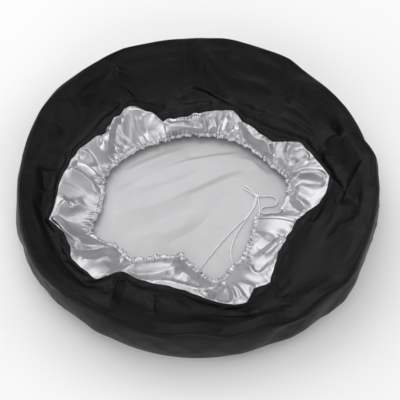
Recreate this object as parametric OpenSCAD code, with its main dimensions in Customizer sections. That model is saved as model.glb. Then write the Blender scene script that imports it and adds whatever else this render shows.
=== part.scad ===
// Spare tire cover, lying slack on its face with the gathered rear opening upwards.
// A round face panel and a wide tread band are cut from one-ply black cloth with a
// silvered inside. A silver rear skirt is sewn to the band, its inner edge is folded
// into a casing, and a drawcord in the casing gathers it. Lengths are in millimetres,
// and directions are in degrees, anticlockwise from +X.

/* [Face panel] */
// Radius of the round face panel
face_r = 350; // [340:1:356]
// Thickness of the cloth with its loft
cloth_t = 1.2; // [1:0.1:1.5]

/* [Tread band] */
// Height of the band's crest above the floor
crest_z = 107; // [95:1:125]
// How far the slack band bulges past the face panel
bulge = 15; // [8:1:20]
// Width of the lap that closes the band into a hoop
lap_w = 14; // [8:1:20]
// Direction of the band's closing seam
lap_angle = 94; // [60:1:160]

/* [Rear skirt] */
// Height of the pleats halfway along the skirt
pleat_h = 4; // [0:0.5:6]
// Height of the seam between band and skirt, as a share of the usual height
seam_lift = 1; // [0.9:0.05:1.1]

/* [Drawcord] */
// Diameter of the drawcord
cord_d = 2.5; // [2:0.1:2.8]
// Width of the gathered casing
casing_w = 9; // [8:0.5:11]
// Height of the gathered casing
casing_h = 7.5; // [6.5:0.5:8]
// Diameter of the channel through the casing
channel_d = 4.4; // [4.2:0.1:5]

/* [Sewing] */
// Diameter of the sewing thread
thread_d = 0.8; // [0.5:0.1:1]

/* [Hidden] */

gap = 0.3;                                       // between two plies, and between sewn edges
thread_gap = 0.05;                               // between a thread and the ply that it lies on
black = [0.07, 0.07, 0.08];
silver = [0.83, 0.83, 0.85];
cord_white = [0.94, 0.94, 0.93];
cord_sides = 8;
thread_sides = 6;
ring_fn = 180;                                   // facets shown on the large rings

// The rear opening, as it lies: [direction, seam radius, seam height, hem radius, hem height],
// from the skirt's upper end at the mouth, right round to its lower end
opening = [[-13, 228, 52, 153, 11], [-8, 250, 58, 174, 13], [0, 265, 60, 189, 15],
           [6, 272, 60, 194, 16], [17, 254, 60, 196, 16], [29, 242, 56, 181, 14],
           [38, 200, 48, 176, 14], [50, 196, 50, 174, 14], [62, 200, 50, 173, 14],
           [69, 214, 55, 170, 14], [86, 200, 50, 167, 14], [99, 190, 48, 169, 14],
           [112, 195, 44, 168, 14], [118, 225, 54, 170, 14], [125, 254, 60, 174, 14],
           [134, 250, 58, 182, 14], [145, 242, 58, 190, 14], [159, 266, 58, 204, 14],
           [168, 272, 60, 204, 13], [176, 282, 60, 199, 12], [187, 290, 60, 206, 12],
           [194, 308, 60, 224, 14], [201, 286, 58, 236, 16], [208, 288, 58, 216, 14],
           [214, 298, 60, 198, 12], [222, 292, 60, 198, 13], [227, 290, 60, 198, 14],
           [232, 240, 52, 184, 16], [243, 238, 55, 160, 20], [256, 233, 60, 144, 23],
           [264, 238, 60, 159, 21], [271, 248, 60, 175, 16], [278, 264, 62, 194, 12],
           [285, 279, 64, 196, 12], [290, 280, 64, 186, 12], [295, 258, 60, 174, 12],
           [303, 260, 60, 168, 12], [310, 235, 54, 161, 12], [318, 217, 50, 150, 12],
           [328, 210, 50, 138, 12], [340, 212, 47, 131, 11], [342, 213, 46, 130, 11]];

// Routes of the free cord: each lies on the face panel, and rises only at a mouth or at the knot
strand_lower_route = [[125.5, -34, 10], [127, -27, 7], [127, -18, 4], [127, -7, 4], [125.8, 5, 4],
                      [125.4, 11.2, 5]];
strand_upper_route = [[172, -23.5, 11], [166, -26, 7], [158, -26.5, 4], [149, -26, 4],
                      [140, -28, 4], [133, -26, 4], [130.5, -19, 4], [134, -12.5, 4],
                      [141, -10, 4], [150, -9.5, 4], [159, -7, 4], [165, 1, 4],
                      [162, 11, 4], [153, 16, 4], [139, 16, 4], [127.5, 15.5, 5]];
pull_loop_route = [[120, 13, 5], [114, -12, 4], [102, -32, 4], [86, -49, 4], [70, -67, 4],
                   [55, -86, 4], [41, -104, 4], [28, -122, 4], [14, -142, 4], [2, -163, 4],
                   [-3, -184, 4], [4, -203, 4], [23, -213, 4], [45, -209, 4], [62, -194, 4],
                   [71, -172, 4], [71, -148, 4], [67, -127, 4], [69, -105, 4], [78, -77, 4],
                   [95, -47, 4], [110, -22, 4], [119, -4, 4], [122.5, 12, 5]];
tail_left_route = [[121, 17, 6], [113, 28, 4], [100, 42, 4]];
tail_right_route = [[119, 16, 6], [109, 26, 4], [97, 34, 4]];
knot_centre = [123, 15, 6.2];
knot_lobe_d = 4.2;
knot_lobe_reach = 1.5;

first_dir = opening[0][0];
last_dir = opening[len(opening) - 1][0];
mouth_dir = first_dir + 6;                       // the casing's upper mouth
band_step = 3;                                   // degrees between the band's columns
skirt_columns = 121;
pleats = (skirt_columns - 1) / 4;                // four columns to a pleat
skirt_rows = 6;
casing_rings = 80;
flap_rows = 4;
crest_r = face_r - 8;

// --- The opening's shape -----------------------------------------------------------------

// A value from column k of the opening's table, at direction a
function at(a, k) = lookup(a, [for (row = opening) [row[0], row[k]]]);

// The same, for any direction: inside the mouth it runs from the lower end to the upper one
function seam_at(a, k) =
    let (b = a > last_dir ? a - 360 : a)
    b >= first_dir ? at(b, k)
        : let (u = (b + 360 - last_dir) / (360 + first_dir - last_dir))
          opening[len(opening) - 1][k] * (1 - u) + opening[0][k] * u;

function turn(p, a) = [p[0] * cos(a), p[0] * sin(a), p[1]];

function casing_point(a) = turn([at(a, 3), at(a, 4)], a);

casing_line = [for (i = [0 : casing_rings - 1])
    casing_point(mouth_dir + (last_dir - mouth_dir) * i / (casing_rings - 1))];

// The skirt from the seam, at s = 0, to the casing, at s = 1; t goes round it from 0 to 1
function skirt_point(t, s) =
    let (a = first_dir + (last_dir - first_dir) * t,
         r = at(a, 1) * (1 - s) + at(a, 3) * s,
         z = (at(a, 2) * seam_lift - cloth_t / 2 - gap) * (1 - s)
             + (at(a, 4) + casing_h / 2 - 0.6) * s)
    turn([r, z + pleat_h * sin(180 * s) * cos(360 * pleats * t)], a);

// --- The band's section ------------------------------------------------------------------

// (radius, height) from the face seam, up the wall and over the crest
wall = [[face_r + gap + cloth_t / 2, 0.6], [face_r + 0.85 * bulge, 0.28 * crest_z],
        [face_r + bulge, 0.56 * crest_z], [face_r + 0.72 * bulge, 0.8 * crest_z],
        [face_r + 0.2 * bulge, 0.94 * crest_z], [crest_r, crest_z - cloth_t / 2],
        [crest_r - 14, crest_z - 3]];
wall_end = wall[len(wall) - 1];

// From the crest down to the seam in direction a
function flap(a) =
    [for (k = [1 : flap_rows]) let (u = k / flap_rows)
        [wall_end[0] + (seam_at(a, 1) - wall_end[0]) * u,
         seam_at(a, 2) * seam_lift + (wall_end[1] - seam_at(a, 2) * seam_lift) * pow(1 - u, 1.5)]];

function side_of(line, i) =
    let (d = line[min(i + 1, len(line) - 1)] - line[max(i - 1, 0)]) [d[1], -d[0]] / norm(d);

// The outline of a line of thickness t, moved by shift to its right-hand side
function thick_line(line, t, shift) =
    concat([for (i = [0 : len(line) - 1]) line[i] + side_of(line, i) * (shift + t / 2)],
           [for (i = [len(line) - 1 : -1 : 0]) line[i] + side_of(line, i) * (shift - t / 2)]);

// --- Sweeps ------------------------------------------------------------------------------

// A point on the smooth curve through b and c, with a and d as the points on either side
function curve_point(a, b, c, d, t) =
    0.5 * ((2 * b) + (c - a) * t + (2 * a - 5 * b + 4 * c - d) * t * t
           + (3 * b - a - 3 * c + d) * t * t * t);

// The smooth curve through a route, with steps points for each span
function smooth(route, steps) =
    let (last = len(route) - 1)
    [for (i = [0 : last - 1], k = [0 : steps - 1])
        curve_point(route[max(i - 1, 0)], route[i], route[i + 1], route[min(i + 2, last)],
                    k / steps),
     route[last]];

function heading(line, i) =
    let (d = line[min(i + 1, len(line) - 1)] - line[max(i - 1, 0)]) d / norm(d);

function across(line, i) = let (d = cross([0, 0, 1], heading(line, i))) d / norm(d);

// An ellipse of width w and height h, set across the line at each of its points
function rings(line, w, h, sides) =
    [for (i = [0 : len(line) - 1], k = [0 : sides - 1])
        let (a = 360 * k / sides, s = across(line, i), u = cross(heading(line, i), s))
        line[i] + s * cos(a) * w / 2 + u * sin(a) * h / 2];

function quads(from, rows, sides, flip) =
    [for (i = [0 : rows - 2], k = [0 : sides - 1])
        let (a = from + i * sides + k, b = from + i * sides + (k + 1) % sides)
        flip ? [a, a + sides, b + sides, b] : [a, b, b + sides, a + sides]];

// A solid cord along a line
module tube(line, d, sides) {
    last = (len(line) - 1) * sides;
    polyhedron(rings(line, d, d, sides),
               concat(quads(0, len(line), sides, false),
                      [[for (k = [sides - 1 : -1 : 0]) k], [for (k = [0 : sides - 1]) last + k]]),
               convexity = 6);
}

// A hollow casing along a line, open at both ends
module sleeve(line, w, h, hole, sides) {
    n = len(line);
    inner = n * sides;
    last = (n - 1) * sides;
    polyhedron(concat(rings(line, w, h, sides), rings(line, hole, hole, sides)),
               concat(quads(0, n, sides, false), quads(inner, n, sides, true),
                      [for (k = [0 : sides - 1]) let (m = (k + 1) % sides)
                          [k, inner + k, inner + m, m]],
                      [for (k = [0 : sides - 1]) let (m = (k + 1) % sides)
                          [last + k, last + m, inner + last + m, inner + last + k]]),
               convexity = 10);
}

// A closed hoop through a ring of outlines with the same number of points each
module hoop(outlines) {
    n = len(outlines);
    m = len(outlines[0]);
    polyhedron([for (line = outlines) each line],
               [for (i = [0 : n - 1], k = [0 : m - 1])
                   let (a = i * m, b = ((i + 1) % n) * m, next = (k + 1) % m)
                   [a + k, a + next, b + next, b + k]],
               convexity = 10);
}

// A cloth under a grid of points, in rows of cols points each
module cloth(grid, cols) {
    rows = len(grid) / cols;
    n = len(grid);
    edge = concat([for (j = [0 : cols - 1]) j],
                  [for (i = [1 : rows - 1]) i * cols + cols - 1],
                  [for (j = [cols - 2 : -1 : 0]) (rows - 1) * cols + j],
                  [for (i = [rows - 2 : -1 : 1]) i * cols]);
    m = len(edge);
    polyhedron(concat(grid, [for (p = grid) p - [0, 0, cloth_t]]),
               concat([for (i = [0 : rows - 2], j = [0 : cols - 2])
                          let (a = i * cols + j) each [[a, a + 1, a + cols],
                                                       [a + 1, a + cols + 1, a + cols]]],
                      [for (i = [0 : rows - 2], j = [0 : cols - 2])
                          let (a = n + i * cols + j) each [[a, a + cols, a + 1],
                                                           [a + 1, a + cols, a + cols + 1]]],
                      [for (k = [0 : m - 1]) let (a = edge[k], b = edge[(k + 1) % m])
                          each [[a, n + a, b], [b, n + a, n + b]]]),
               convexity = 10);
}

// Part of the skirt, from column j0 to column j1, raised by lift
module skirt_piece(j0, j1, lift) {
    cols = j1 - j0 + 1;
    cloth([for (i = [0 : skirt_rows - 1], j = [j0 : j1])
              skirt_point(j / (skirt_columns - 1), i / (skirt_rows - 1)) + [0, 0, lift]], cols);
}

// A line of stitching round the skirt at share s of its width
module stitch_ring(s) {
    tube([for (j = [0 : skirt_columns - 1])
              skirt_point(j / (skirt_columns - 1), s) + [0, 0, thread_d / 2 + thread_gap]],
         thread_d, thread_sides);
}

// --- The pieces --------------------------------------------------------------------------

module face_panel() {
    color(black) cylinder(r = face_r, h = cloth_t, $fn = ring_fn);
}

module tread_band() {
    color(black) hoop([for (a = [0 : band_step : 360 - band_step])
        [for (p = thick_line(concat(wall, flap(a)), cloth_t, 0)) turn([p[0], max(p[1], 0)], a)]]);
}

// Extrudes an outline in the plane of direction a, for a width of w
module in_direction(a, w) {
    rotate([0, 0, a]) rotate([90, 0, 0]) translate([0, 0, -w / 2])
        linear_extrude(height = w) children();
}

// The seam allowances of the band's closing seam, inside the band
module band_lap() {
    lap = [for (i = [1 : len(wall) - 2]) wall[i]];
    color(black) in_direction(lap_angle, lap_w) polygon(thick_line(lap, cloth_t, -cloth_t - gap));
}

module rear_skirt() {
    color(silver) skirt_piece(0, skirt_columns - 1, 0);
}

// The turned hem at each end of the skirt, one column wide
module skirt_end_upper() {
    color(silver) skirt_piece(0, 1, cloth_t + gap);
}

module skirt_end_lower() {
    color(silver) skirt_piece(skirt_columns - 2, skirt_columns - 1, cloth_t + gap);
}

module hem_casing() {
    color(silver) sleeve(casing_line, casing_w, casing_h, channel_d, cord_sides);
}

module cord(line) {
    color(cord_white) tube(line, cord_d, cord_sides);
}

module casing_cord() { cord(casing_line); }

module strand_lower() { cord(smooth(strand_lower_route, 2)); }

module strand_upper() { cord(smooth(strand_upper_route, 1)); }

module pull_loop() { cord(smooth(pull_loop_route, 1)); }

module cord_tail_left() { cord(smooth(tail_left_route, 2)); }

module cord_tail_right() { cord(smooth(tail_right_route, 2)); }

// An overhand knot, pulled tight, as the three lobes that it shows
module drawcord_knot() {
    color(cord_white) translate(knot_centre) hull()
        for (a = [90, 210, 330])
            rotate([0, 0, a]) translate([knot_lobe_reach, 0, 0]) sphere(d = knot_lobe_d, $fn = 24);
}

module face_seam_thread() {
    color(black) rotate_extrude($fn = ring_fn)
        translate([face_r - 5, cloth_t + thread_d / 2 + thread_gap])
            circle(d = thread_d, $fn = 16);
}

module band_seam_thread() {
    line = [for (i = [1 : len(wall) - 2]) wall[i]];
    color(black) in_direction(lap_angle, thread_d)
        polygon(thick_line(line, thread_d, cloth_t / 2 + thread_d / 2 + thread_gap));
}

module skirt_seam_thread() { color(black) stitch_ring(0.05); }

module casing_thread() { color(silver) stitch_ring(0.8); }

module end_hem_thread() {
    inset = 0.6;                                 // of a column, from the skirt's end
    color(silver)
        for (t = [inset / (skirt_columns - 1), 1 - inset / (skirt_columns - 1)])
            tube([for (s = [0.1 : 0.2 : 0.9])
                      skirt_point(t, s) + [0, 0, cloth_t + 2 * gap + thread_d / 2]],
                 thread_d, thread_sides);
}

face_panel();
tread_band();
band_lap();
rear_skirt();
skirt_end_lower();
skirt_end_upper();
hem_casing();
casing_cord();
strand_lower();
strand_upper();
drawcord_knot();
pull_loop();
cord_tail_left();
cord_tail_right();
face_seam_thread();
band_seam_thread();
skirt_seam_thread();
casing_thread();
end_hem_thread();
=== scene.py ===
"""The spare tire cover's looks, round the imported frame: slack black cloth on its face, a gathered
silver skirt and a thin white drawcord. Lengths are in metres, except where a name ends in _MM."""
import math

import bpy
import numpy as np
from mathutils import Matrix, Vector


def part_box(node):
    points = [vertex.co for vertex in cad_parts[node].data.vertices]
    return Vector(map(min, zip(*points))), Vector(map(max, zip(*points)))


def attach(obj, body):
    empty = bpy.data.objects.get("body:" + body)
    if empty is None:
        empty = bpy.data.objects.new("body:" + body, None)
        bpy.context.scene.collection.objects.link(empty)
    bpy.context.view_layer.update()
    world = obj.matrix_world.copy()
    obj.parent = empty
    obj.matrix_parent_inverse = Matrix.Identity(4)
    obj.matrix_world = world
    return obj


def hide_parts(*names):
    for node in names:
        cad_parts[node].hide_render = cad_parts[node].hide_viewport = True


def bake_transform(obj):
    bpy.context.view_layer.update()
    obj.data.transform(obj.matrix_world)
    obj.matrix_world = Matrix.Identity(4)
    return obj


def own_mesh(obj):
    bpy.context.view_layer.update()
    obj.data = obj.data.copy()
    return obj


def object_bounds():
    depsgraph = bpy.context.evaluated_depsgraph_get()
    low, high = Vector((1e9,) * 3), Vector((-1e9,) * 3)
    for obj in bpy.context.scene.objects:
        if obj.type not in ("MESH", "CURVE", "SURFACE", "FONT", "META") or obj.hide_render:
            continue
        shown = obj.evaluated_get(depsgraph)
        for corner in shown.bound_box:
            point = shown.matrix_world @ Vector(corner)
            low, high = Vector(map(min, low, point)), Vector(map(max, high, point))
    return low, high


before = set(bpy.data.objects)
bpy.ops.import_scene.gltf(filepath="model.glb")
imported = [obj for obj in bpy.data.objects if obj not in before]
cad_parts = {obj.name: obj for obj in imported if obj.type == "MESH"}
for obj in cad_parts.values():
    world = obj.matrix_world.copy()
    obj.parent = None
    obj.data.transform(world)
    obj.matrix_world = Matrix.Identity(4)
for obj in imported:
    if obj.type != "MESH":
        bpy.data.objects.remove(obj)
cad_low, cad_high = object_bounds()
rng = np.random.default_rng(11)

MM = 0.001
FACE_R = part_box("face_panel")[1].x
CREST_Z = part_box("tread_band")[1].z
CLOTH_T = 0.0006
CORD_D = 0.0025
FLOOR_Z = cad_low.z


# --- Camera ------------------------------------------------------------------------------------

def add_camera(target, distance, elevation, lens):
    camera = bpy.data.objects.new("camera", bpy.data.cameras.new("camera"))
    bpy.context.scene.collection.objects.link(camera)
    e = math.radians(elevation)
    camera.location = (target[0], target[1] - distance * math.cos(e),
                       target[2] + distance * math.sin(e))
    camera.rotation_euler = (math.pi / 2 - e, 0, 0)
    camera.data.lens = lens
    camera.data.clip_end = 50
    bpy.context.scene.camera = camera


add_camera(target=(0.005, -0.0165, 0.04), distance=2.6, elevation=57.8, lens=115)


# --- Small tools -------------------------------------------------------------------------------

def make_object(name, vertices, faces, material=None):
    mesh = bpy.data.meshes.new(name)
    mesh.from_pydata([tuple(map(float, v)) for v in vertices], [], [tuple(f) for f in faces])
    mesh.validate()
    obj = bpy.data.objects.new(name, mesh)
    bpy.context.scene.collection.objects.link(obj)
    mesh.polygons.foreach_set("use_smooth", [True] * len(mesh.polygons))
    if material:
        mesh.materials.append(material)
    return obj


def smooth_path(points, steps):
    """Catmull-Rom through the points, steps to a span."""
    p = np.array(points, float)
    q = np.vstack([2 * p[0] - p[1], p, 2 * p[-1] - p[-2]])
    out = []
    for i in range(1, len(q) - 2):
        a, b, c, d = q[i - 1], q[i], q[i + 1], q[i + 2]
        for k in range(steps):
            t = k / steps
            out.append(0.5 * (2 * b + (c - a) * t + (2 * a - 5 * b + 4 * c - d) * t * t
                              + (3 * b - a - 3 * c + d) * t ** 3))
    out.append(p[-1])
    return np.array(out)


def frames_along(path, closed=False):
    """Unit tangents, sideways and upward vectors along a path."""
    if closed:
        t = np.roll(path, -1, 0) - np.roll(path, 1, 0)
    else:
        t = np.gradient(path, axis=0)
    t /= np.linalg.norm(t, axis=1)[:, None]
    side = np.cross(np.array([0, 0, 1.0]), t)
    side /= np.linalg.norm(side, axis=1)[:, None] + 1e-12
    return t, side, np.cross(t, side)


def grid_faces(rows, cols, wrap=False, offset=0):
    """Quads of a grid whose vertices are listed row by row."""
    last = cols if wrap else cols - 1
    return [(offset + i * cols + j, offset + i * cols + (j + 1) % cols,
             offset + (i + 1) * cols + (j + 1) % cols, offset + (i + 1) * cols + j)
            for i in range(rows - 1) for j in range(last)]


def periodic_noise(angle, low, high, seed):
    """Smooth noise round the circle, of waves from low to high per turn, with unit spread."""
    r = np.random.default_rng(seed)
    k = np.arange(low, high + 1)
    phase = r.uniform(0, 2 * math.pi, len(k))
    size = r.normal(1, 0.35, len(k))
    total = (size[:, None] * np.sin(np.radians(np.ravel(angle))[None, :] * k[:, None]
                                    + phase[:, None])).sum(0)
    total /= math.sqrt(0.5 * (size ** 2).sum())
    return total.reshape(np.shape(angle))


def smoothstep(x, lo=0.0, hi=1.0):
    t = np.clip((np.asarray(x, float) - lo) / (hi - lo), 0, 1)
    return t * t * (3 - 2 * t)


# --- Materials ---------------------------------------------------------------------------------

def new_material(name):
    material = bpy.data.materials.new(name)
    material.use_nodes = True
    tree = material.node_tree
    return material, tree, tree.nodes["Principled BSDF"]


def add_node(tree, kind, **values):
    node = tree.nodes.new(kind)
    for key, value in values.items():
        if key in node.inputs:
            node.inputs[key].default_value = value
        else:
            setattr(node, key, value)
    return node


def object_coordinates(tree):
    return add_node(tree, "ShaderNodeTexCoord").outputs["Object"]


def noise(tree, vector, scale, detail=4.0, roughness=0.55, distortion=0.0):
    node = add_node(tree, "ShaderNodeTexNoise", Scale=scale, Detail=detail,
                    Roughness=roughness, Distortion=distortion)
    tree.links.new(vector, node.inputs["Vector"])
    return node.outputs["Fac"]


def weave(tree, vector, threads_per_metre):
    """A plain weave: two crossed waves of threads, from 0 to 1."""
    fields = []
    for direction in ("X", "Y"):
        wave = add_node(tree, "ShaderNodeTexWave", Scale=threads_per_metre / 3.3,
                        Distortion=0.4, Detail=1.0, bands_direction=direction)
        tree.links.new(vector, wave.inputs["Vector"])
        fields.append(wave.outputs["Fac"])
    both = add_node(tree, "ShaderNodeMath", operation="MULTIPLY")
    tree.links.new(fields[0], both.inputs[0])
    tree.links.new(fields[1], both.inputs[1])
    return both.outputs[0]


def mix_heights(tree, parts):
    """The sum of (field, weight) parts."""
    total = None
    for field, weight in parts:
        step = add_node(tree, "ShaderNodeMath", operation="MULTIPLY_ADD")
        tree.links.new(field, step.inputs[0])
        step.inputs[1].default_value = weight
        if total is None:
            step.inputs[2].default_value = 0
        else:
            tree.links.new(total, step.inputs[2])
        total = step.outputs[0]
    return total


def ramp(tree, field, stops):
    node = add_node(tree, "ShaderNodeValToRGB")
    elements = node.color_ramp.elements
    while len(elements) < len(stops):
        elements.new(0.5)
    for element, (place, colour) in zip(elements, stops):
        element.position = place
        element.color = (*colour, 1) if len(colour) == 3 else (colour[0],) * 3 + (1,)
    tree.links.new(field, node.inputs["Fac"])
    return node.outputs["Color"]


def add_bump(tree, shader, height, distance):
    bump = add_node(tree, "ShaderNodeBump", Strength=1.0, Distance=distance)
    tree.links.new(height, bump.inputs["Height"])
    tree.links.new(bump.outputs["Normal"], shader.inputs["Normal"])


def cloth_material(name, dark, light, rough, metallic=0.0, crinkle=0.0004, crinkle_scale=60,
                   threads=1400, thread_depth=0.00006, specular=0.5):
    """Woven cloth: a colour that drifts a little, fine crinkles and a plain weave."""
    material, tree, shader = new_material(name)
    where = object_coordinates(tree)
    drift = noise(tree, where, 14, detail=5)
    tree.links.new(ramp(tree, drift, [(0.3, dark), (0.7, light)]), shader.inputs["Base Color"])
    tree.links.new(ramp(tree, noise(tree, where, 45, detail=3),
                        [(0.25, (rough[0],)), (0.75, (rough[1],))]), shader.inputs["Roughness"])
    shader.inputs["Metallic"].default_value = metallic
    shader.inputs["Specular IOR Level"].default_value = specular
    height = mix_heights(tree, [
        (noise(tree, where, crinkle_scale, detail=6, distortion=0.6), crinkle),
        (weave(tree, where, threads), thread_depth)])
    add_bump(tree, shader, height, 1.0)
    return material


BLACK = cloth_material("black_oxford", (0.0012, 0.0012, 0.0015), (0.003, 0.003, 0.0035),
                       (0.36, 0.45), crinkle=0.0012, crinkle_scale=22, specular=0.17)
SILVER = cloth_material("silver_satin", (0.48, 0.475, 0.495), (0.54, 0.535, 0.555), (0.29, 0.37),
                        metallic=0.85, crinkle=0.0003, crinkle_scale=30, thread_depth=0.00003)
LINING = cloth_material("silvered_inside", (0.53, 0.53, 0.54), (0.57, 0.57, 0.58), (0.45, 0.55),
                        metallic=0.3, crinkle=0.0009, crinkle_scale=14, thread_depth=0.00004)
BLACK_THREAD = cloth_material("black_thread", (0.004, 0.004, 0.0045), (0.010, 0.010, 0.011),
                              (0.5, 0.6), crinkle=0.0002, crinkle_scale=900, threads=3000)
SILVER_THREAD = cloth_material("silver_thread", (0.5, 0.5, 0.51), (0.68, 0.68, 0.69),
                               (0.45, 0.55), crinkle=0.0002, crinkle_scale=900, threads=3000)


def cord_material():
    """White braided cord: diagonal strands crossing each other, with painted shade between them."""
    material, tree, shader = new_material("braided_cord")
    where = object_coordinates(tree)
    braid = weave(tree, where, 1100)
    # painted shade: the cord's white is darker in the gaps between the braid's strands and lighter
    # on their crowns
    tree.links.new(ramp(tree, braid, [(0.0, (0.87, 0.88, 0.90)), (0.6, (0.97, 0.98, 1.0))]),
                   shader.inputs["Base Color"])
    shader.inputs["Roughness"].default_value = 0.75
    height = mix_heights(tree, [(braid, 0.0003), (noise(tree, where, 900), 0.0002)])
    add_bump(tree, shader, height, 1.0)
    return material


CORD = cord_material()


# --- Drawcord: free strands, pull loop, knot and tails -----------------------------------------

# The routes of part.scad, in millimetres. Where one ends at a knot it runs on into it. A
# separate script worked out most of their points, which were then adjusted.
STRAND_LOWER_MM = [(125.5, -34, 10), (127, -27, 7), (127, -18, 4), (127, -7, 4), (125.8, 5, 4),
                   (125.4, 11.2, 5), (123.6, 14, 6)]
STRAND_UPPER_MM = [(172, -23.5, 11), (166, -26, 7), (158, -26.5, 4), (149, -26, 4),
                   (140, -28, 4), (133, -26, 4), (130.5, -19, 4), (134, -12.5, 4),
                   (141, -10, 4), (150, -9.5, 4), (159, -7, 4), (165, 1, 4), (162, 11, 4),
                   (153, 16, 4), (139, 16, 4), (127.5, 15.5, 5), (124, 15, 6)]
PULL_LOOP_MM = [(120, 13, 5), (114, -12, 4), (102, -32, 4), (86, -49, 4), (70, -67, 4),
                (55, -86, 4), (41, -104, 4), (28, -122, 4), (14, -142, 4), (2, -163, 4),
                (-3, -184, 4), (4, -203, 4), (23, -213, 4), (45, -209, 4), (62, -194, 4),
                (71, -172, 4), (71, -148, 4), (67, -127, 4), (69, -105, 4), (78, -77, 4),
                (95, -47, 4), (110, -22, 4), (119, -4, 4), (122.5, 12, 5)]
TAIL_LEFT_MM = [(123, 15, 6), (121, 17, 6), (113, 28, 4), (100, 42, 4)]
TAIL_RIGHT_MM = [(123, 15, 6), (119, 16, 6), (109, 26, 4), (97, 34, 4)]
KNOT_MM = np.array([123, 15, 6.2])
KNOT_SIZE = 0.00125                              # about a third of the knot's half-width
KNOT_POINTS = 96
KNOT_CORD_R = 0.52 * CORD_D                      # the cord bulges a little where it is knotted
CORD_SIDES = 14
GROOVES = 4                                      # a twist of shallow grooves, the braid's outline
GROOVE_DEPTH = 0.05                              # share of the cord's radius
GROOVE_TWIST = 0.0021                            # length in which their phase turns by a radian
FRAYED_LENGTH = 0.006


def cord_tube(name, path, fray=0.0):
    """A round cord along path, with rounded ends; fray roughens its last few millimetres."""
    t, side, up = frames_along(path)
    n = len(path)
    along = np.concatenate([[0], np.cumsum(np.linalg.norm(np.diff(path, axis=0), axis=1))])
    angle = np.linspace(0, 2 * math.pi, CORD_SIDES, endpoint=False)
    rows = []
    for i in range(n):
        grooves = 1 + GROOVE_DEPTH * np.cos(GROOVES * angle + along[i] / GROOVE_TWIST)
        if fray:
            near_end = smoothstep(along[i], along[-1] - FRAYED_LENGTH, along[-1])
            grooves = grooves * (1 + fray * near_end * rng.uniform(-0.3, 0.5, CORD_SIDES))
        ring = path[i] + (CORD_D / 2 * grooves)[:, None] * (
            np.cos(angle)[:, None] * side[i] + np.sin(angle)[:, None] * up[i])
        rows.append(ring)
    verts = list(np.concatenate(rows))
    faces = grid_faces(n, CORD_SIDES, wrap=True)
    verts += [path[0] - t[0] * CORD_D * 0.2, path[-1] + t[-1] * CORD_D * 0.2]
    first, last = len(verts) - 2, len(verts) - 1
    end = (n - 1) * CORD_SIDES
    for k in range(CORD_SIDES):
        faces.append((first, (k + 1) % CORD_SIDES, k))
        faces.append((last, end + k, end + (k + 1) % CORD_SIDES))
    return make_object(name, verts, faces, CORD)


def finish_cord(nodes):
    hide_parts(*nodes)


def knot_object():
    """An overhand knot pulled tight: a cord along a small three-lobed curve."""
    turn = np.linspace(0, 2 * math.pi, KNOT_POINTS, endpoint=False)
    curve = np.stack([np.sin(turn) + 2 * np.sin(2 * turn), np.cos(turn) - 2 * np.cos(2 * turn),
                      -1.15 * np.sin(3 * turn)], 1) * KNOT_SIZE + KNOT_MM * MM
    _, side, up = frames_along(curve, closed=True)
    angle = np.linspace(0, 2 * math.pi, CORD_SIDES, endpoint=False)
    rings = (curve[:, None, :] + KNOT_CORD_R * (
        np.cos(angle)[None, :, None] * side[:, None, :]
        + np.sin(angle)[None, :, None] * up[:, None, :]))
    n = len(curve)
    verts = rings.reshape(-1, 3)
    faces = [(i * CORD_SIDES + k, i * CORD_SIDES + (k + 1) % CORD_SIDES,
              ((i + 1) % n) * CORD_SIDES + (k + 1) % CORD_SIDES, ((i + 1) % n) * CORD_SIDES + k)
             for i in range(n) for k in range(CORD_SIDES)]
    return make_object("drawcord_knot_cord", verts, faces, CORD)


def build_drawcord():
    knot = knot_object()
    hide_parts("drawcord_knot")
    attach(knot, "drawcord_end")
    for name, route, node in (("strand_lower_cord", STRAND_LOWER_MM, "strand_lower"),
                              ("strand_upper_cord", STRAND_UPPER_MM, "strand_upper")):
        path = smooth_path(np.array(route) * MM, 8)
        strand = cord_tube(name, path)
        finish_cord([node])
        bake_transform(strand)
    path = smooth_path(np.array(PULL_LOOP_MM) * MM, 8)
    loop = cord_tube("pull_loop_cord", path)
    finish_cord(["pull_loop"])
    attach(loop, "drawcord_end")
    for name, route, node in (("cord_tail_left_cord", TAIL_LEFT_MM, "cord_tail_left"),
                              ("cord_tail_right_cord", TAIL_RIGHT_MM, "cord_tail_right")):
        path = smooth_path(np.array(route) * MM, 10)
        tail = cord_tube(name, path, fray=1.0)
        finish_cord([node])
        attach(tail, "drawcord_end")


build_drawcord()


# --- The cloth's lie ---------------------------------------------------------------------------

# A separate script worked out most numbers of OPENING_MM and most points of BAND_FOLDS_MM and
# SKIRT_FOLDS_MM, and WALL_OUT_MM was written from its results. Some were then adjusted, but
# these tables aren't hand-chosen.

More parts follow.
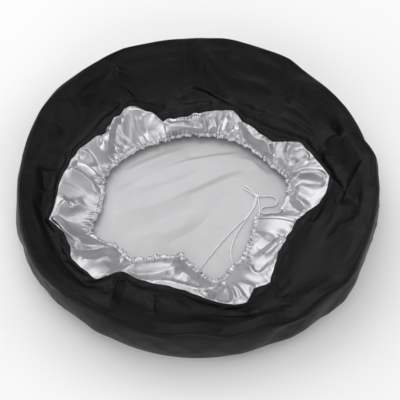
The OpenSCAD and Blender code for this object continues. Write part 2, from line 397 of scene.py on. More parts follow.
# The rear opening, as in part.scad: direction, seam radius and height, hem radius and height
OPENING_MM = np.array([
    (-13, 228, 52, 153, 11), (-8, 250, 58, 174, 13), (0, 265, 60, 189, 15), (6, 272, 60, 194, 16),
    (17, 254, 60, 196, 16), (29, 242, 56, 181, 14), (38, 200, 48, 176, 14), (50, 196, 50, 174, 14),
    (62, 200, 50, 173, 14), (69, 214, 55, 170, 14), (86, 200, 50, 167, 14), (99, 190, 48, 169, 14),
    (112, 195, 44, 168, 14), (118, 225, 54, 170, 14), (125, 254, 60, 174, 14),
    (134, 250, 58, 182, 14), (145, 242, 58, 190, 14), (159, 266, 58, 204, 14),
    (168, 272, 60, 204, 13), (176, 282, 60, 199, 12), (187, 290, 60, 206, 12),
    (194, 308, 60, 224, 14), (201, 286, 58, 236, 16), (208, 288, 58, 216, 14),
    (214, 298, 60, 198, 12), (222, 292, 60, 198, 13), (227, 290, 60, 198, 14),
    (232, 240, 52, 184, 16), (243, 238, 55, 160, 20), (256, 233, 60, 144, 23),
    (264, 238, 60, 159, 21), (271, 248, 60, 175, 16), (278, 264, 62, 194, 12),
    (285, 279, 64, 196, 12), (290, 280, 64, 186, 12), (295, 258, 60, 174, 12),
    (303, 260, 60, 168, 12), (310, 235, 54, 161, 12), (318, 217, 50, 150, 12),
    (328, 210, 50, 138, 12), (340, 212, 47, 131, 11), (342, 213, 46, 130, 11)], float)
FIRST_DIR = OPENING_MM[0, 0]
LAST_DIR = OPENING_MM[-1, 0]
MOUTH_DIR = FIRST_DIR + 6                        # the casing's upper mouth

# How far the slack wall stands out or in, round the circle: direction and millimetres
WALL_OUT_MM = np.array([
    (0, 3), (8, 8), (16, -5), (30, -3), (45, -9), (57, 2), (70, 0), (82, 3), (95, -2), (106, 3),
    (116, 9), (126, 6), (136, 6), (144, 10), (153, 10), (166, -2), (176, -2), (184, 2), (192, 4),
    (201, 5), (210, 10), (218, 7), (230, 1), (245, -3), (262, -3), (272, -6), (283, 2), (295, 2),
    (306, 7), (320, 10), (330, 8), (343, 1), (352, 2)], float)

# Section of the wall and crest, as in part.scad: radius past the face panel, share of the height
WALL_SECTION = [(0.0006, 0.006), (0.0117, 0.25), (0.0148, 0.52), (0.0122, 0.8), (0.0065, 0.985),
                (-0.006, 0.975), (-0.020, 0.94)]

# Folds, in millimetres: the points that each runs through, its height (below zero for a hollow),
# its half-width and how far its crest leans over in x and y
BAND_FOLDS_MM = [
    ([(-230, 285), (-180, 295), (-155, 245), (-130, 210)], 13, 15, 0, 0),
    ([(-175, 285), (-220, 265), (-290, 225)], -8, 14, 0, 0),
    ([(-255, 190), (-200, 215), (-170, 200)], -6, 14, 0, 0),
    ([(-290, 145), (-285, 115), (-280, 80)], 7, 14, 0, 0),
    ([(-310, -10), (-315, 20), (-320, 45)], -8, 12, 0, 0),
    ([(-330, -60), (-310, -35), (-280, -30)], -9, 14, 0, 0),
    ([(-190, 265), (-95, 295), (-30, 315)], 6, 16, 0, 0),
    ([(0, 350), (5, 300), (30, 260), (75, 215)], -10, 10, 0, 0),
    ([(15, 345), (45, 300), (80, 275), (130, 260), (170, 230)], 9, 12, 0, 0),
    ([(-60, 220), (-5, 250), (35, 235), (65, 220)], 8, 9, 0, 0),
    ([(-35, 205), (5, 220), (35, 215)], 5, 6, 0, 0),
    ([(305, 100), (265, 160), (215, 210), (180, 230)], -13, 15, 0, 0),
    ([(200, 275), (245, 240), (285, 185), (320, 130), (350, 90)], 9, 9, 0, 0),
    ([(105, 200), (160, 190), (215, 155), (250, 120)], 8, 16, 0, 0),
    ([(250, 105), (295, 110), (310, 80), (335, 50)], 12, 9, 0, 0),
    ([(255, 85), (285, 80), (300, 50)], -7, 12, 0, 0),
    ([(290, -45), (300, -20), (320, 20), (365, 70)], 11, 11, 0, 0),
    ([(240, 35), (275, 20), (300, -20)], 5, 10, 0, 0),
    ([(310, -40), (332, -20), (352, 10)], -6, 12, 0, 0),
    ([(305, -90), (300, -75), (265, -65), (215, -75)], -7, 11, 0, 0),
    ([(320, -70), (300, -110), (250, -105)], 6, 11, 0, 0),
    ([(240, -270), (195, -268), (155, -250)], 6, 11, 0, 0),
    ([(215, -300), (85, -280), (15, -265), (-65, -250)], -7, 12, 0, 0),
    ([(-150, -185), (-160, -230), (-168, -300)], 15, 13, 0, 0),
    ([(-85, -235), (-83, -300)], 7, 10, 0, 0),
    ([(-320, -135), (-265, -215), (-195, -290)], -9, 16, 0, 0),
]
SKIRT_FOLDS_MM = [
    ([(-145, 225), (-110, 205), (-80, 180)], 12, 11, 0, 0),
    ([(-165, 205), (-160, 160), (-155, 120)], -12, 14, 0, 0),
    ([(-100, 140), (-110, 165), (-120, 190)], 8, 13, 0, 0),
    ([(-175, 205), (-180, 160), (-185, 115)], 12, 6, 0, 0),
    ([(-195, 105), (-200, 140), (-210, 165)], 8, 9, 0, 0),
    ([(-176, 130), (-170, 113), (-158, 108)], -7, 6, 0, 0),
    ([(-193, 143), (-174, 122), (-154, 112)], 8, 6, 0, 0),
    ([(-74, 173), (-26, 174), (23, 169)], 9, 7, 0, -4),
    ([(-70, 184), (-30, 188), (7, 197)], -7, 7, 0, 0),
    ([(9, 199), (15, 182), (19, 169)], -8, 5, 0, 0),
    ([(31, 196), (37, 179), (41, 170)], 6, 6, 0, 0),
    ([(55, 193), (67, 177), (75, 165)], 7, 6, 0, 0),
    ([(85, 176), (95, 158), (108, 139)], -8, 5, 0, 0),
    ([(95, 170), (123, 138), (145, 124), (153, 109), (157, 93)], 9, 6, -3, -3),
    ([(190, 127), (178, 103), (186, 66)], 9, 6, 0, 0),
    ([(194, 102), (220, 91), (224, 74), (201, 67), (189, 61)], 9, 6, 2, 0),
    ([(205, 84), (200, 78)], -6, 6, 0, 0),
    ([(193, 60), (227, 49), (253, 40), (268, 26)], 8, 6, 0, -3),
    ([(201, 46), (234, 33), (263, 13)], -8, 6, 0, 0),
    ([(194, 8), (210, -14), (226, -42)], 9, 7, -4, -4),
    ([(186, -2), (200, -24), (214, -48)], -6, 6, 0, 0),
    ([(204, 30), (224, 8), (238, -14)], 5, 12, 0, 0),
    ([(185, -95), (145, -112), (120, -130)], -6, 6, 0, 0),
    ([(175, -105), (150, -130), (130, -145)], 8, 8, 0, 0),
    ([(170, -115), (155, -145), (130, -180)], -6, 7, 0, 0),
    ([(110, -160), (105, -175), (115, -190), (130, -185), (145, -160)], 8, 5, 0, 0),
    ([(80, -145), (95, -155), (105, -180)], 7, 5, 0, 0),
    ([(48, -192), (29, -225), (14, -246)], 8, 5, 0, 0),
    ([(49, -193), (36, -230), (23, -254)], -6, 4, 0, 0),
    ([(50, -194), (43, -237), (34, -261)], 8, 5, 0, 0),
    ([(52, -194), (54, -236), (53, -267)], 8, 5, 0, 0),
    ([(53, -194), (60, -236), (61, -267)], -6, 4, 0, 0),
    ([(54, -195), (68, -237), (72, -267)], 9, 5, 0, 0),
    ([(54, -190), (50, -268)], -12, 13, 0, 0),
    ([(50, -210), (20, -220), (-10, -240)], 8, 6, 0, 0),
    ([(56, -194), (80, -233), (88, -258)], 8, 6, 0, 0),
    ([(70, -199), (99, -223), (121, -231)], 6, 9, 0, 0),
    ([(-39, -184), (-9, -199), (10, -224)], 8, 8, 0, 0),
    ([(-98, -213), (-46, -218), (-1, -232)], 5, 8, 0, 0),
    ([(-160, -164), (-115, -159), (-77, -146), (-32, -139)], 12, 9, 0, -6),
    ([(-140, -190), (-84, -186), (-46, -174)], -7, 9, 0, 0),
    ([(-250, -134), (-210, -129), (-171, -103)], -8, 7, 0, 0),
    ([(-161, -109), (-154, -140), (-158, -171)], -6, 5, 0, 0),
    ([(-234, -165), (-197, -163), (-173, -134)], 7, 10, 0, 0),
    ([(-161, -171), (-180, -197), (-195, -219)], 6, 8, 0, 0),
    ([(-300, -64), (-273, -74), (-253, -99), (-225, -103)], 12, 7, -2, -8),
    ([(-279, -92), (-260, -105), (-241, -122)], -9, 7, 0, 0),
    ([(-293, -54), (-268, -36), (-250, -20)], 7, 7, 0, 0),
    ([(-277, -12), (-257, -42), (-232, -12)], 8, 7, 0, 0),
    ([(-280, 50), (-240, 40), (-215, 25), (-195, 5)], 12, 7, 0, 3),
    ([(-272, 62), (-242, 62), (-208, 50)], -8, 7, 0, 0),
    ([(-247, 100), (-224, 88), (-212, 69)], 8, 7, 0, 0),
    ([(-240, 130), (-240, 105), (-250, 75)], -8, 9, 0, 0),
]

COLUMNS = 560                                    # columns of cloth in a full turn
OPEN_COLUMNS = 8                                 # of them, those at the mouth: band but no skirt
FLAP_ROWS = 22
SKIRT_ROWS = 20
CREST_ROW = 8                                    # the row of the crest's crease
WALL_STEPS = 2                                   # rows for each span of the wall's section
FINE = 2                                         # once settled, each cell's sides are cut in two
LAP_UNDER_DEG = 5.5                              # the skirt's upper end slips under the lower one
HEM_STRIP = 9                                    # fine columns of a turned hem at the skirt's ends
SEAM_ALLOWANCE = 0.0011                          # the skirt hangs this far below the band's edge
EDGE_LAP = 0.002                                 # the band's edge reaches this far past the seam
BAND_SEAM_DIR = 94                               # direction of the seam that closes the band

# Heights of the waves and dents given to the cloth before its folds
WALL_DENT = 0.0014
WALL_HOLLOW = 0.0025
WALL_CREASE = 0.0016
CREST_WAVE = 0.002
CREST_DROP = 0.002                               # the crest is this far under its CAD height
SKIRT_PUFF = 0.004
SKIRT_RUFFLE = 0.0028
SKIRT_UNDER = 0.008                              # the end under the other one lies this far down
HEM_CLEAR = 0.002
SKIRT_LOWEST = 0.009


def column_directions(count):
    """Directions of the columns: the skirt's, then the few that cross the mouth."""
    skirt = np.linspace(FIRST_DIR, LAST_DIR, count - OPEN_COLUMNS)
    step = (360 + FIRST_DIR - LAST_DIR) / (OPEN_COLUMNS + 1)
    mouth = LAST_DIR + step * np.arange(1, OPEN_COLUMNS + 1)
    return np.concatenate([skirt, mouth])


def around(direction, table, column):
    """A value of a table at each direction, joined up round the circle."""
    a = table[:, 0]
    v = table[:, column]
    x = np.concatenate([a[-2:] - 360, a, a[:2] + 360])
    y = np.concatenate([v[-2:], v, v[:2]])
    return np.interp(direction, x, y)


def soften(values, width):
    """Rounds off the corners of values that run round the circle."""
    k = np.arange(-3 * width, 3 * width + 1)
    w = np.exp(-0.5 * (k / width) ** 2)
    w /= w.sum()
    padded = np.concatenate([values[-3 * width:], values, values[:3 * width]])
    return np.convolve(padded, w, "valid")


def distance_to_line(x, y, points):
    """Distance of each point from a polyline, how far along it the nearest place is (0 to 1), and
    on which side of it the point lies (1 on the left, -1 on the right)."""
    best = np.full(x.shape, 1e9)
    share = np.zeros(x.shape)
    side = np.zeros(x.shape)
    n = len(points) - 1
    for i in range(n):
        ax, ay = points[i]
        bx, by = points[i + 1]
        dx, dy = bx - ax, by - ay
        t = np.clip(((x - ax) * dx + (y - ay) * dy) / (dx * dx + dy * dy), 0, 1)
        d = np.hypot(x - ax - t * dx, y - ay - t * dy)
        nearer = d < best
        best = np.where(nearer, d, best)
        share = np.where(nearer, (i + t) / n, share)
        across = (dx * (y - ay) - dy * (x - ax)) / math.hypot(dx, dy)
        side = np.where(nearer, across / (d + 1e-6), side)
    return best, share, np.clip(side, -1, 1)


def crease(d, side, half_width, crispness=1.1):
    """Cross-section of a fold: a crisp crest, a steep side on its left and a long gentle one on
    its right."""
    reach = half_width * (2.5 - 1.1 * side)
    rise = 1 - (np.hypot(d, crispness) - crispness) / reach
    return np.clip(rise, 0, 1) ** 1.5


def fold_offsets(x, y, folds, end_size=0.3, fade=0.2):
    """Summed offset of the folds at each point, in metres: x, y and z. A fold grows from nothing
    over its first stretch, and shrinks to end_size of its height over its last."""
    total = np.zeros(x.shape + (3,))
    for points, height, half_width, lean_x, lean_y in folds:
        line = smooth_path(points, 5)
        d, share, side = distance_to_line(x / MM, y / MM, [tuple(q) for q in line])
        taper = smoothstep(share, 0, fade) * (1 - (1 - end_size) * smoothstep(share, 1 - fade, 1))
        size = taper * crease(d, side, half_width)
        total += size[..., None] * np.array([lean_x, lean_y, height]) * MM
    return total


def ridged(angle, low, high, seed):
    """Irregular sharp crests round the circle, from 0 in the hollows to 1 on the crests."""
    n = periodic_noise(angle, low, high, seed)
    return 1 - np.clip(np.abs(n) / 1.25, 0, 1) ** 0.8


def lie_of_cloth():
    """Grid of points, rows by columns: up the wall, over the crest, down the flap and the skirt.
    Returns the grid and the row of the seam."""
    direction = column_directions(COLUMNS)
    pucker = periodic_noise(direction, 20, 60, 3)
    seam_r = (around(direction, OPENING_MM, 1) + 0.7 * pucker) * MM
    seam_z = (soften(around(direction, OPENING_MM, 2), 1) + 0.6 * pucker) * MM
    hem_r = soften(around(direction, OPENING_MM, 3), 1) * MM
    hem_z = soften(around(direction, OPENING_MM, 4), 3) * MM
    out = soften(around(direction, WALL_OUT_MM, 1), 1) * MM
    a = np.radians(direction)
    section = smooth_path([(r, h, 0) for r, h in WALL_SECTION], WALL_STEPS)
    dents = (WALL_DENT * periodic_noise(direction, 9, 24, 61)
             - WALL_HOLLOW * ridged(direction, 5, 12, 62))
    creases = WALL_CREASE * ridged(direction, 14, 30, 63)
    rows = []
    for r, h, _ in section:
        swell = out * smoothstep(h, 0.0, 0.3)
        slant = np.roll(dents, int(18 * h)) * math.sin(math.pi * min(h, 1)) ** 0.7
        slant = slant + np.roll(creases, int(-25 * h)) * math.sin(math.pi * min(h, 1))
        crest = CREST_WAVE * periodic_noise(direction, 6, 20, 64) * smoothstep(h, 0.6, 1.0)
        rows.append((FACE_R + r + swell + slant,
                     h * CREST_Z - CREST_DROP * smoothstep(h, 0.5, 1) + crest))
    top_r, top_z = rows[-1]
    drop = periodic_noise(direction, 2, 7, 5)
    for k in range(1, FLAP_ROWS + 1):
        u = k / FLAP_ROWS
        z = seam_z + (top_z - seam_z) * (1 - u) ** (1.8 + 0.12 * drop)
        rows.append((top_r + (seam_r - top_r) * u, z))
    seam_row = len(rows) - 1
    under = np.clip(1 - (direction - FIRST_DIR) / 14, 0, 1)
    calm = (1 - 0.8 * smoothstep(direction, 322, 334)) * (1 - 0.6 * under)
    lean = 5 * periodic_noise(direction, 3, 12, 22)
    strength = np.clip(0.8 + 0.4 * periodic_noise(direction, 4, 15, 23), 0.2, 1.5) * calm
    puff = SKIRT_PUFF * (1 + 0.4 * periodic_noise(direction, 3, 11, 24))
    for k in range(1, SKIRT_ROWS + 1):
        v = k / SKIRT_ROWS
        r = seam_r + (hem_r - seam_r) * v
        z = seam_z + (hem_z + HEM_CLEAR - seam_z) * v ** 0.95 + puff * math.sin(math.pi * v)
        bow = math.sin(math.pi * v) ** 0.7
        z = z + SKIRT_RUFFLE * strength * (ridged(direction + lean * v, 7, 15, 25) - 0.5) * bow
        z = z - SKIRT_UNDER * under * (1 - 0.5 * v)
        rows.append((r, z))
    radius = np.array([r for r, _ in rows])
    height = np.array([z for _, z in rows])
    row = np.arange(len(rows))[:, None]
    past_seam = row - seam_row
    shift = np.radians(LAP_UNDER_DEG) * under * smoothstep(past_seam, 0, 5) * (
        1 - 0.65 * smoothstep(past_seam, 5, SKIRT_ROWS))
    angle = a[None, :] - shift
    grid = np.stack([radius * np.cos(angle), radius * np.sin(angle), height], 2)
    on_flap = smoothstep(row, len(section) - 4, len(section) + 3) * (past_seam <= 0)
    on_flap = on_flap * (1 - 0.5 * smoothstep(past_seam, -3, 0))
    on_skirt = smoothstep(past_seam, 0, 4) * (
        1 - 0.8 * smoothstep(past_seam, SKIRT_ROWS - 5, SKIRT_ROWS))
    x, y = grid[:, :, 0].copy(), grid[:, :, 1].copy()
    grid += fold_offsets(x, y, BAND_FOLDS_MM) * on_flap[:, :, None]
    grid += fold_offsets(x, y, SKIRT_FOLDS_MM) * on_skirt[:, :, None]
    grid[seam_row + 1:, :, 2] = np.maximum(grid[seam_row + 1:, :, 2], SKIRT_LOWEST)
    return grid, seam_row


def settle(grid, seam_row, frames=24):
    """Cloth simulation: the cloth is a little longer than its lie, so it buckles into creases,
    while soft pins hold it near that lie. The face seam and the hem stay put."""
    rows, cols, _ = grid.shape
    skirt_cols = cols - OPEN_COLUMNS
    faces = grid_faces(seam_row + 1, cols, wrap=True)
    offset = seam_row * cols
    faces += [f for f in grid_faces(rows - seam_row, cols, offset=offset)
              if (f[0] - offset) % cols < skirt_cols - 1]
    obj = make_object("settling_cloth", grid.reshape(-1, 3), faces)
    row = np.repeat(np.arange(rows), cols)
    hold = np.interp(row, [0, 1, 6, seam_row - 3, seam_row, seam_row + 2, rows - 4, rows - 1],
                     [1, 0.5, 0.12, 0.06, 0.7, 0.5, 0.5, 1])
    grow = np.interp(row, [0, 8, seam_row - 2, seam_row + 2, rows - 4, rows - 1],
                     [0.15, 0.4, 0.5, 0.04, 0.04, 0.04])
    flap = smoothstep(np.tile(column_directions(cols), rows), 318, 330) * (row > seam_row)
    grow = grow * (1 - 0.9 * flap)
    for name, weights in (("pin", hold), ("slack", grow)):
        group = obj.vertex_groups.new(name=name)
        rounded = weights.round(3)
        for level in np.unique(rounded):
            group.add(np.nonzero(rounded == level)[0].tolist(), float(level), "REPLACE")
    rest = make_object("settling_rest", [(-1, -1, 0.0015), (1, -1, 0.0015), (1, 1, 0.0015),
                                         (-1, 1, 0.0015)], [(0, 1, 2, 3)])
    rest.modifiers.new("collision", "COLLISION")
    rest.collision.thickness_outer = 0.001
    cloth = obj.modifiers.new("cloth", "CLOTH")
    s = cloth.settings
    s.quality = 7
    s.mass = 0.05
    s.tension_stiffness = 18
    s.compression_stiffness = 14
    s.shear_stiffness = 6
    s.bending_stiffness = 0.06
    s.tension_damping = s.compression_damping = s.shear_damping = 8
    s.bending_damping = 0.6
    s.air_damping = 2
    s.vertex_group_mass = "pin"
    s.pin_stiffness = 1.2
    s.vertex_group_shrink = "slack"
    s.shrink_min = 0
    s.shrink_max = -0.2
    s.effector_weights.gravity = 0.25
    cloth.collision_settings.distance_min = 0.0012
    cloth.collision_settings.use_self_collision = False
    scene = bpy.context.scene
    cloth.point_cache.frame_start = 1
    cloth.point_cache.frame_end = frames
    for f in range(1, frames + 1):
        scene.frame_set(f)
    evaluated = obj.evaluated_get(bpy.context.evaluated_depsgraph_get())
    co = np.zeros(rows * cols * 3)
    evaluated.data.vertices.foreach_get("co", co)
    scene.frame_set(1)
    for o in (obj, rest):
        mesh = o.data
        bpy.data.objects.remove(o)
        bpy.data.meshes.remove(mesh)
    return co.reshape(rows, cols, 3)


def finer(line, factor, closed):
    """Catmull-Rom refinement of an array along its first axis."""
    if closed:
        q = np.concatenate([line[-1:], line, line[:2]])
        n = len(line)
    else:
        q = np.concatenate([2 * line[:1] - line[1:2], line, 2 * line[-1:] - line[-2:-1]])
        n = len(line) - 1
    a, b, c, d = q[0:n], q[1:n + 1], q[2:n + 2], q[3:n + 3]
    out = []
    for k in range(factor):
        t = k / factor
        out.append(0.5 * (2 * b + (c - a) * t + (2 * a - 5 * b + 4 * c - d) * t * t
                          + (3 * b - a - 3 * c + d) * t ** 3))
    fine = np.stack(out, 1).reshape(n * factor, *line.shape[1:])
    return fine if closed else np.concatenate([fine, line[-1:]])


def finer_grid(grid, closed):
    grid = finer(grid, FINE, closed=False)
    return finer(grid.transpose(1, 0, 2), FINE, closed=closed).transpose(1, 0, 2)


def grid_normals(grid, closed):
    """Unit normals of a grid of points, out of the cover."""
    if closed:
        along = np.roll(grid, -1, 1) - np.roll(grid, 1, 1)
    else:
        along = np.gradient(grid, axis=1)
    normal = np.cross(along, np.gradient(grid, axis=0))
    return normal / (np.linalg.norm(normal, axis=2)[:, :, None] + 1e-12)


def cloth_piece(name, grid, closed, top, under, thickness=CLOTH_T):
    """A sheet of cloth with thickness: top is the material that faces out of the cover."""
    rows, cols, _ = grid.shape
    obj = make_object(name, grid.reshape(-1, 3), grid_faces(rows, cols, wrap=closed), top)
    obj.data.materials.append(under)
    solid = obj.modifiers.new("thickness", "SOLIDIFY")
    solid.thickness = thickness
    solid.offset = -1
    solid.material_offset = 1
    solid.material_offset_rim = 0
    return obj


def keep(obj, slot, *nodes):
    """Hides the CAD parts that a piece of the cover stands in for, and hangs the piece on the
    cover's body.
    """
    if nodes:
        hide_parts(*nodes)
    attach(obj, "cover")
    return obj


CREST_PINCH = (0.0022, 0.0008)                   # rise of the crest's crease and the rows beside it
GATHER_HEIGHT = 0.0036
SEAM_PUCKER = 0.0002


def gather(direction):
    """Height of the gathers at the hem: 0 to 1 for the broad ones, and fine ones on them."""
    uneven = direction + 2.5 * periodic_noise(direction, 4, 14, 36)
    return ridged(uneven, 20, 48, 31) + 0.3 * (ridged(uneven, 60, 120, 35) - 0.5)


def build_grids():
    """The band's and the skirt's fine grids; the skirt's first rows hang under the band's edge."""
    grid, seam_row = lie_of_cloth()
    grid = settle(grid, seam_row)
    skirt_cols = COLUMNS - OPEN_COLUMNS
    band = finer_grid(grid[:seam_row + 1], closed=True)
    crest_row = FINE * CREST_ROW
    for away, pinch in enumerate(CREST_PINCH):
        for row in {crest_row - away, crest_row + away}:
            band[row, :, 2] += pinch
    edge = band[-1] - band[-4]
    band[-1] += EDGE_LAP * edge / (np.linalg.norm(edge, axis=1)[:, None] + 1e-12)
    skirt = finer_grid(grid[seam_row - 1:, :skirt_cols], closed=False)
    rows, cols, _ = skirt.shape
    past_seam = np.arange(rows)[:, None] - FINE
    normal = grid_normals(skirt, closed=False)
    direction = np.linspace(FIRST_DIR, LAST_DIR, cols)
    v = np.clip(past_seam / (rows - 1 - FINE), 0, 1)
    offset = -SEAM_ALLOWANCE * (1 - smoothstep(past_seam, 0, 2 * FINE))
    calm = 1 - 0.6 * smoothstep(direction, 330, 336)
    drawn = np.clip(0.65 + 0.5 * periodic_noise(direction, 5, 16, 34), 0.15, 1.3) * calm
    offset = offset + GATHER_HEIGHT * (gather(direction) - 0.5) * drawn * smoothstep(v, 0.74, 0.97)
    offset = offset + SEAM_PUCKER * periodic_noise(direction, 90, 160, 33) * (
        smoothstep(v, 0, 0.06) - smoothstep(v, 0.1, 0.25))
    return band, skirt + normal * offset[:, :, None]


band_grid, skirt_grid = build_grids()
tread_band = keep(cloth_piece("tread_band_cloth", band_grid, True, BLACK, LINING),
                  "black_cloth", "tread_band")
rear_skirt = keep(cloth_piece("rear_skirt_cloth", skirt_grid, False, SILVER, SILVER),
                  "silver_cloth", "rear_skirt")


# --- Hems, casing and lap ------------------------------------------------------------------------

CASING_SIDES = 20
CASING_HALF_W = 0.0074
CASING_HALF_H = 0.0025
CASING_DROP = 0.0016                             # the casing hangs this far below the skirt's edge
CASING_LOWEST = 0.0026
CASING_LIFT = 0.0032                             # height of its gathers
CASING_SWAY = 0.0013
CRUMPLE = 0.0006
CASING_CALM = 8                                  # passes that even out the edge it follows
HEM_PLY = 0.0009                                 # thickness of a turned hem's second ply
HEM_LIFT = 0.0011
HEM_CROWN = 0.0006
LAP_INSIDE = 0.0012                              # the lap lies this far inside the band

def build_casing(hem):
    """The gathered channel: a flattened tube along the hem, crumpled into fine puckers."""
    skipped = int(round((MOUTH_DIR - FIRST_DIR) / (LAST_DIR - FIRST_DIR) * (len(hem) - 1)))
    path = finer(hem[skipped:], 2, closed=False)
    for _ in range(CASING_CALM):
        path[1:-1] = (path[:-2] + 2 * path[1:-1] + path[2:]) / 4
    path[:, 2] -= CASING_DROP
    centre = path.copy()
    n = len(path)
    _, side, up = frames_along(path)
    direction = np.linspace(MOUTH_DIR, LAST_DIR, n)
    lift = gather(direction) - 0.5
    drawn = np.clip(0.75 + 0.5 * periodic_noise(direction, 7, 24, 34), 0.3, 1.5)
    path = path + up * (CASING_LIFT * lift * drawn)[:, None]
    path = path + side * (CASING_SWAY * drawn * periodic_noise(direction, 40, 110, 43))[:, None]
    half_w = CASING_HALF_W + 0.0009 * periodic_noise(direction, 14, 50, 44)
    half_h = CASING_HALF_H + 0.0007 * lift * drawn
    rows = []
    for k in range(CASING_SIDES):
        b = 2 * math.pi * k / CASING_SIDES
        crumple = CRUMPLE * drawn * periodic_noise(direction + 0.15 * k, 70, 190, 50 + k // 5)
        w = (half_w + crumple) * math.cos(b)
        h = (half_h + crumple) * math.sin(b)
        rows.append(path + side * w[:, None] + up * h[:, None])
    grid = np.stack(rows, 1)
    grid[:, :, 2] = np.maximum(grid[:, :, 2], CASING_LOWEST)
    casing = make_object("hem_casing_cloth", grid.reshape(-1, 3),
                         grid_faces(n, CASING_SIDES, wrap=True), SILVER)
    solid = casing.modifiers.new("thickness", "SOLIDIFY")
    solid.thickness = CLOTH_T
    solid.offset = 0
    return keep(casing, "silver_cloth", "hem_casing"), centre


def build_end_hem(name, columns, node):
    """A turned hem along one end of the skirt: a second ply on it, with a rounded fold."""
    strip = skirt_grid[FINE + 2:-2, columns]
    normal = grid_normals(strip, closed=False)
    profile = HEM_LIFT + HEM_CROWN * np.sin(np.linspace(0, math.pi, strip.shape[1]))
    strip = strip + normal * profile[None, :, None]
    return keep(cloth_piece(name, strip, False, SILVER, SILVER, thickness=HEM_PLY),
                "silver_cloth", node)


def build_lap():
    """The band's two ends, sewn together and turned inwards: a ply inside the wall."""
    middle = int(round((BAND_SEAM_DIR - FIRST_DIR) / (LAST_DIR - FIRST_DIR)
                       * (COLUMNS - OPEN_COLUMNS - 1) * FINE))
    strip = band_grid[1:, middle - 3:middle + 4]
    normal = grid_normals(strip, closed=False)
    strip = strip - normal * LAP_INSIDE
    return keep(cloth_piece("band_lap_cloth", strip, False, LINING, BLACK), "black_cloth",
                "band_lap"), middle


casing, casing_centre = build_casing(skirt_grid[-1])
lower_hem = build_end_hem("skirt_end_lower_hem", slice(-HEM_STRIP, None), "skirt_end_lower")
upper_hem = build_end_hem("skirt_end_upper_hem", slice(0, HEM_STRIP), "skirt_end_upper")
band_lap, lap_column = build_lap()


# --- Stitches ------------------------------------------------------------------------------------

STITCH_SIDES = 6
END_STITCH_LIFT = 0.0017                         # on top of the turned hems' second ply


def resample(path, pitch):
    """Points and unit tangents at equal steps along a path."""
    along = np.concatenate([[0], np.cumsum(np.linalg.norm(np.diff(path, axis=0), axis=1))])
    count = max(2, int(along[-1] / pitch))
    where = (np.arange(count) + 0.5) * along[-1] / count
    points = np.stack([np.interp(where, along, path[:, i]) for i in range(3)], 1)
    ahead = np.stack([np.interp(np.minimum(where + 0.0005, along[-1]), along, path[:, i])
                      for i in range(3)], 1)
    behind = np.stack([np.interp(np.maximum(where - 0.0005, 0), along, path[:, i])
                       for i in range(3)], 1)
    t = ahead - behind
    return points, t / (np.linalg.norm(t, axis=1)[:, None] + 1e-12)


def build_stitches(name, paths, node, slot, material, pitch=0.0042, length=0.003, width=0.0007):
    """Rows of separate stitches: each is a short thread whose ends dip into the cloth.
    Each path comes with the directions in which its stitches stand up."""
    verts = []
    faces = []
    # place along the stitch, thickness, and height above the cloth
    profile = [(-0.5, 0.35, -0.5), (-0.32, 0.9, 0.05), (0, 1.0, 0.3), (0.32, 0.9, 0.05),
               (0.5, 0.35, -0.5)]
    for path, normal in paths:
        points, tangents = resample(path, pitch)
        near = np.array([np.argmin(((path - q) ** 2).sum(1)) for q in points])
        ups = normal[near]
        sides = np.cross(tangents, ups)
        for q, t, u, w in zip(points, tangents, ups, sides):
            start = len(verts)
            for place, thick, height in profile:
                centre = q + t * place * length + u * height * width
                for k in range(STITCH_SIDES):
                    b = 2 * math.pi * k / STITCH_SIDES
                    verts.append(centre + 0.5 * width * thick * (w * math.cos(b) + u * math.sin(b)))
            faces += grid_faces(len(profile), STITCH_SIDES, wrap=True, offset=start)
            end = start + (len(profile) - 1) * STITCH_SIDES
            faces.append(tuple(start + k for k in reversed(range(STITCH_SIDES))))
            faces.append(tuple(end + k for k in range(STITCH_SIDES)))
    return keep(make_object(name, verts, faces, material), slot, node)


def build_all_stitches():
    band_up = grid_normals(band_grid, closed=True)
    skirt_up = grid_normals(skirt_grid, closed=False)
    build_stitches("face_seam_stitches", [(band_grid[1], band_up[1])], "face_seam_thread",
                   "black_thread", BLACK_THREAD)
    build_stitches("band_seam_stitches", [(band_grid[2:-2, lap_column + 3],
                                           band_up[2:-2, lap_column + 3])],
                   "band_seam_thread", "black_thread", BLACK_THREAD)
    build_stitches("skirt_seam_stitches", [(band_grid[-3], band_up[-3])],
                   "skirt_seam_thread", "black_thread", BLACK_THREAD)
    build_stitches("casing_stitches", [(skirt_grid[-5], skirt_up[-5])], "casing_thread",
                   "silver_thread", SILVER_THREAD, pitch=0.0036, length=0.0026, width=0.0006)
    ends = []
    for column in (HEM_STRIP - 2, -HEM_STRIP + 1):
        rows = slice(FINE + 3, -3)
        up = skirt_up[rows, column]
        ends.append((skirt_grid[rows, column] + up * END_STITCH_LIFT, up))
    build_stitches("end_hem_stitches", ends, "end_hem_thread", "silver_thread", SILVER_THREAD,
                   pitch=0.0038, length=0.0027, width=0.0007)


build_all_stitches()


def build_casing_cord(centre):
    """The drawcord inside the casing, and out of it to where the two free strands start."""
    lower = np.array(STRAND_LOWER_MM[0]) * MM
    upper = np.array(STRAND_UPPER_MM[0]) * MM
    inside = centre[12:-6:6]
    path = np.concatenate([upper[None], inside, lower[None]])
    cord = cord_tube("casing_cord_run", smooth_path(path, 2))
    keep(cord, "drawcord", "casing_cord")


build_casing_cord(casing_centre)


# --- Face panel --------------------------------------------------------------------------------

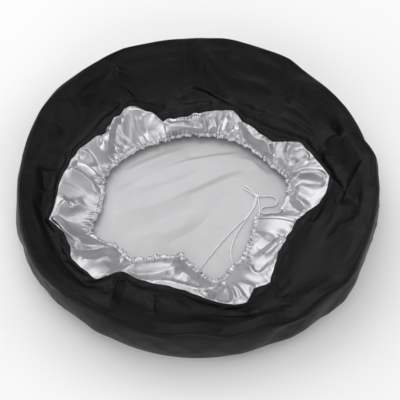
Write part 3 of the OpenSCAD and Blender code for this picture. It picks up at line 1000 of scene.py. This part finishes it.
# Soft wrinkles across the panel: points, height and half-width, in millimetres
PANEL_FOLDS_MM = [
    ([(-215, -5), (-120, 48), (-25, 92), (60, 115), (120, 120)], 11, 13, 0, 0),
    ([(-215, -62), (-130, -10), (-20, 42), (90, 98), (160, 105)], 9, 14, 0, 0),
    ([(-60, 2), (30, 40), (110, 84)], -7, 12, 0, 0),
    ([(-175, 60), (-90, 105), (-10, 140)], 6, 11, 0, 0),
    ([(-30, 112), (40, 138), (85, 140)], -6, 12, 0, 0),
    ([(40, 74), (95, 98), (160, 60)], 7, 9, 0, 0),
    ([(-150, -90), (-60, -60), (30, -10)], 6, 16, 0, 0),
    ([(-90, -110), (0, -70), (60, -20)], -5, 16, 0, 0),
]
PANEL_RINGS = 110
PANEL_SIDES = 260
PANEL_T = 0.0012
PANEL_RIPPLE = 0.0005
UNDER_CORD = 0.0026                              # the panel's greatest height right under a cord


def build_panel():
    """The round face panel, with the soft wrinkles that its inside shows."""
    radius = FACE_R * np.linspace(0, 1, PANEL_RINGS + 1)[1:]
    angle = np.linspace(0, 2 * math.pi, PANEL_SIDES, endpoint=False)
    x = np.outer(radius, np.cos(angle))
    y = np.outer(radius, np.sin(angle))
    z = PANEL_T + fold_offsets(x, y, PANEL_FOLDS_MM, end_size=0, fade=0.4)[:, :, 2]
    z += PANEL_RIPPLE * (1 + np.sin(x * 37 + y * 21 + 1.1) * np.sin(y * 43 - x * 17))
    flat_rim = 1 - smoothstep(np.hypot(x, y), FACE_R - 0.03, FACE_R - 0.004)
    z = PANEL_T + np.maximum(z - PANEL_T, 0) * flat_rim
    for route in (STRAND_LOWER_MM, STRAND_UPPER_MM, PULL_LOOP_MM, TAIL_LEFT_MM, TAIL_RIGHT_MM):
        d, _, _ = distance_to_line(x / MM, y / MM, [(p[0], p[1]) for p in route])
        under_cord = UNDER_CORD + 0.004 * smoothstep(d, 2, 22)
        z = np.minimum(z, under_cord)
    verts = [(0, 0, PANEL_T + PANEL_RIPPLE)]
    verts += [tuple(p) for p in np.stack([x, y, z], 2).reshape(-1, 3)]
    faces = [(0, 1 + k, 1 + (k + 1) % PANEL_SIDES) for k in range(PANEL_SIDES)]
    faces += grid_faces(PANEL_RINGS, PANEL_SIDES, wrap=True, offset=1)
    faces = [f if len(f) == 3 else f[::-1] for f in faces]
    low = [(p[0], p[1], 0.0) for p in verts]
    n = len(verts)
    outer = 1 + (PANEL_RINGS - 1) * PANEL_SIDES
    under = [tuple(n + i for i in reversed(f)) for f in faces]
    rim = [(outer + k, n + outer + k, n + outer + (k + 1) % PANEL_SIDES,
            outer + (k + 1) % PANEL_SIDES) for k in range(PANEL_SIDES)]
    panel = make_object("face_panel_cloth", verts + low, faces + under + rim, LINING)
    panel.data.materials.append(BLACK)
    for polygon in panel.data.polygons[len(faces):]:
        polygon.material_index = 1
    keep(panel, "black_cloth", "face_panel")
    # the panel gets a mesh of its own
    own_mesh(panel)
    return panel


face_panel = build_panel()


# --- Floor and light -----------------------------------------------------------------------------

FLOOR_HALF = 12
FLOOR_GAP = 0.0006                               # keeps the floor clear of the cloth


def build_studio():
    z = FLOOR_Z - FLOOR_GAP
    corners = [(-1, -1), (1, -1), (1, 1), (-1, 1)]
    floor = make_object("floor", [(i * FLOOR_HALF, j * FLOOR_HALF, z) for i, j in corners],
                        [(0, 1, 2, 3)])
    material, _, shader = new_material("pale_floor")
    shader.inputs["Base Color"].default_value = (0.93, 0.93, 0.93, 1)
    shader.inputs["Roughness"].default_value = 0.9
    floor.data.materials.append(material)
    world = bpy.data.worlds.new("studio")
    bpy.context.scene.world = world
    world.use_nodes = True
    world.node_tree.nodes["Background"].inputs["Color"].default_value = (1, 1, 1, 1)
    world.node_tree.nodes["Background"].inputs["Strength"].default_value = 0.36
    # name, place, width and power
    lights = (("key", (-1.2, 2.2, 2.3), 3.6, 62), ("front", (0.2, -3.0, 1.3), 2.2, 38),
              ("right", (2.7, 0.9, 1.7), 2.2, 22), ("left", (-2.8, -0.8, 1.1), 1.8, 16),
              ("top", (0.1, -0.3, 3.3), 2.4, 18))
    for name, place, width, power in lights:
        lamp = bpy.data.objects.new(name, bpy.data.lights.new(name, "AREA"))
        lamp.data.size = width
        lamp.data.energy = power
        lamp.location = place
        lamp.rotation_euler = (-Vector(place)).to_track_quat("-Z", "Y").to_euler()
        bpy.context.scene.collection.objects.link(lamp)
    bpy.context.scene.view_settings.view_transform = "Standard"


build_studio()
